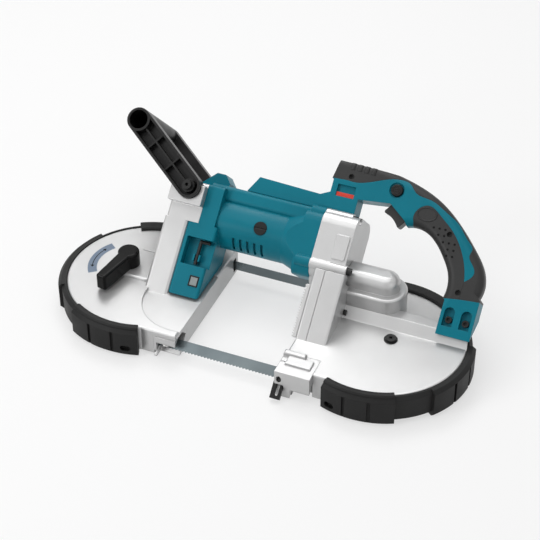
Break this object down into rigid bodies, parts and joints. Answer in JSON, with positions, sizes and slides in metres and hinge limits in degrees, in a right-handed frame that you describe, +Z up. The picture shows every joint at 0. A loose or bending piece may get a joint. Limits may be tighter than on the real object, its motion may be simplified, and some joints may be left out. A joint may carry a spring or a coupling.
{
  "type": "portable band saw",
  "caption": "Cordless deep-cut portable band saw with two wheel covers, a twisted blade across an open throat, leaning motor, D handle and front grip.",
  "frame": {"origin": "middle of the saw's footprint, on the ground under its bumpers", "axes": "+X along the saw from the idler wheel to the drive wheel, +Y to the back, +Z up, square to the wheels"},
  "size_m": [0.511, 0.303, 0.1936],
  "materials": {
    "cast_aluminium": "bare die cast, silver lacquer",
    "teal_plastic": "fine moulded grain",
    "black_plastic": "fine moulded grain",
    "black_rubber": "soft moulded rubber",
    "tyre_rubber": "ground rubber",
    "blade_steel": "rolled steel band",
    "black_screws": "black oxide",
    "machine_steel": "ground steel",
    "motor_iron": "bare iron",
    "copper": "turned copper",
    "carbon": "pressed carbon",
    "red_plastic": "moulded",
    "lamp_glass": "clear moulded lens"
  },
  "bodies": {
    "frame": {"left_frame": "cast_aluminium", "right_frame": "cast_aluminium", "gear_dome": "cast_aluminium", "gear_housing": "cast_aluminium", "motor_housing": "teal_plastic", "blade": "blade_steel", "drive_axle": "machine_steel", "left_guide_block": "cast_aluminium", "right_guide_block": "cast_aluminium", "switch_body": "black_plastic", "battery_terminal": "black_plastic", "lock_indicator": "red_plastic", "case_screws": "black_screws", "front_grip": "black_plastic", "lamp_lens": "lamp_glass", "motor_stator": "motor_iron", "carbon_brushes": "carbon", "brush_caps": "black_plastic", "shaft_bearings": "machine_steel", "frame_screws": "black_screws", "slot_liners": "black_plastic", "guide_holders": "machine_steel", "handle_near": "teal_plastic", "handle_far": "teal_plastic", "grip_spine_near": "black_rubber", "grip_spine_far": "black_rubber", "grip_palm_near": "black_rubber", "grip_palm_far": "black_rubber", "left_bumper": "black_rubber", "right_bumper": "black_rubber"},
    "drive_wheel": {"drive_wheel": "cast_aluminium", "drive_tyre": "tyre_rubber", "drive_bearing": "machine_steel", "ring_gear": "machine_steel"},
    "tension_slide": {"tension_slide": "machine_steel", "idler_axle": "machine_steel"},
    "idler_wheel": {"idler_wheel": "cast_aluminium", "idler_tyre": "tyre_rubber", "idler_bearing": "machine_steel"},
    "tension_lever": {"tension_lever": "black_plastic", "tension_cam": "machine_steel"},
    "trigger": {"trigger": "black_plastic"},
    "lock_button": {"lock_button": "black_plastic"},
    "armature": {"armature_shaft": "machine_steel", "armature_core": "motor_iron", "commutator": "copper", "motor_fan": "black_plastic"},
    "intermediate": {"intermediate_shaft": "machine_steel", "bevel_pinion": "machine_steel"},
    "pinion": {"pinion_shaft": "machine_steel", "bevel_wheel": "machine_steel"},
    "stopper": {"stopper_plate": "black_plastic"},
    "wrench": {"hex_wrench": "black_screws"},
    "left_front_roller": {"left_front_roller": "machine_steel"},
    "left_rear_roller": {"left_rear_roller": "machine_steel"},
    "left_backup_roller": {"left_backup_roller": "machine_steel"},
    "right_front_roller": {"right_front_roller": "machine_steel"},
    "right_rear_roller": {"right_rear_roller": "machine_steel"},
    "right_backup_roller": {"right_backup_roller": "machine_steel"}
  },
  "joints": [
    {"name": "drive_wheel_spin", "type": "hinge", "parent": "frame", "child": "drive_wheel", "pos_m": [0.1585, -0.0405, 0.017], "axis": [0, 0, 1], "continuous": true},
    {"name": "tension_travel", "type": "slide", "parent": "frame", "child": "tension_slide", "axis": [1, 0, 0], "range_m": [0, 0.0044]},
    {"name": "idler_wheel_spin", "type": "hinge", "parent": "tension_slide", "child": "idler_wheel", "pos_m": [-0.1585, -0.0405, 0.017], "axis": [0, 0, 1], "continuous": true},
    {"name": "tension_lever_turn", "type": "hinge", "parent": "frame", "child": "tension_lever", "pos_m": [-0.1767, -0.0327, 0.05], "axis": [0, 0, -1], "range_deg": [-4, 184]},
    {"name": "trigger_pull", "type": "slide", "parent": "frame", "child": "trigger", "axis": [0.5878, 0.5721, 0.5721], "range_m": [0, 0.006], "stiffness_N_per_m": 500, "springref_m": -0.004},
    {"name": "lock_button_push", "type": "slide", "parent": "frame", "child": "lock_button", "axis": [0, 0.7071, -0.7071], "range_m": [0, 0.004], "stiffness_N_per_m": 400, "springref_m": -0.004},
    {"name": "armature_spin", "type": "hinge", "parent": "frame", "child": "armature", "pos_m": [0, 0.0341, 0.08402], "axis": [1, 0, 0], "continuous": true},
    {"name": "intermediate_spin", "type": "hinge", "parent": "frame", "child": "intermediate", "pos_m": [0.07, 0.0115, 0.06818], "axis": [1, 0, 0], "continuous": true},
    {"name": "pinion_spin", "type": "hinge", "parent": "frame", "child": "pinion", "pos_m": [0.13338, 0.0115, 0.04], "axis": [0, 0, 1], "continuous": true},
    {"name": "stopper_travel", "type": "slide", "parent": "frame", "child": "stopper", "axis": [0, 0.7071, 0.7071], "range_m": [0, 0.016]},
    {"name": "wrench_pull", "type": "slide", "parent": "frame", "child": "wrench", "axis": [0, -0.7071, 0.7071], "range_m": [0, 0.04]},
    {"name": "left_front_roller_spin", "type": "hinge", "parent": "frame", "child": "left_front_roller", "pos_m": [-0.084, -0.12464, 0.02064], "axis": [0, 0.7071, 0.7071], "continuous": true},
    {"name": "left_rear_roller_spin", "type": "hinge", "parent": "frame", "child": "left_rear_roller", "pos_m": [-0.084, -0.11736, 0.01336], "axis": [0, 0.7071, 0.7071], "continuous": true},
    {"name": "left_backup_roller_spin", "type": "hinge", "parent": "frame", "child": "left_backup_roller", "pos_m": [-0.084, -0.1133, 0.02471], "axis": [0, 0.7071, -0.7071], "continuous": true},
    {"name": "right_front_roller_spin", "type": "hinge", "parent": "frame", "child": "right_front_roller", "pos_m": [0.084, -0.12464, 0.02064], "axis": [0, 0.7071, 0.7071], "continuous": true},
    {"name": "right_rear_roller_spin", "type": "hinge", "parent": "frame", "child": "right_rear_roller", "pos_m": [0.084, -0.11736, 0.01336], "axis": [0, 0.7071, 0.7071], "continuous": true},
    {"name": "right_backup_roller_spin", "type": "hinge", "parent": "frame", "child": "right_backup_roller", "pos_m": [0.084, -0.1133, 0.02471], "axis": [0, 0.7071, -0.7071], "continuous": true}
  ],
  "couplings": [
    {"joint": "tension_lever_turn", "follows": "tension_travel", "rad_per_m": 714},
    {"joint": "idler_wheel_spin", "follows": "drive_wheel_spin", "ratio": 1},
    {"joint": "pinion_spin", "follows": "drive_wheel_spin", "ratio": -5.4167},
    {"joint": "intermediate_spin", "follows": "drive_wheel_spin", "ratio": 10.833},
    {"joint": "armature_spin", "follows": "drive_wheel_spin", "ratio": -16.852},
    {"joint": "left_front_roller_spin", "follows": "drive_wheel_spin", "ratio": -17.889},
    {"joint": "left_rear_roller_spin", "follows": "drive_wheel_spin", "ratio": 17.889},
    {"joint": "left_backup_roller_spin", "follows": "drive_wheel_spin", "ratio": -20.125},
    {"joint": "right_front_roller_spin", "follows": "drive_wheel_spin", "ratio": -17.889},
    {"joint": "right_rear_roller_spin", "follows": "drive_wheel_spin", "ratio": 17.889},
    {"joint": "right_backup_roller_spin", "follows": "drive_wheel_spin", "ratio": -20.125}
  ]
}
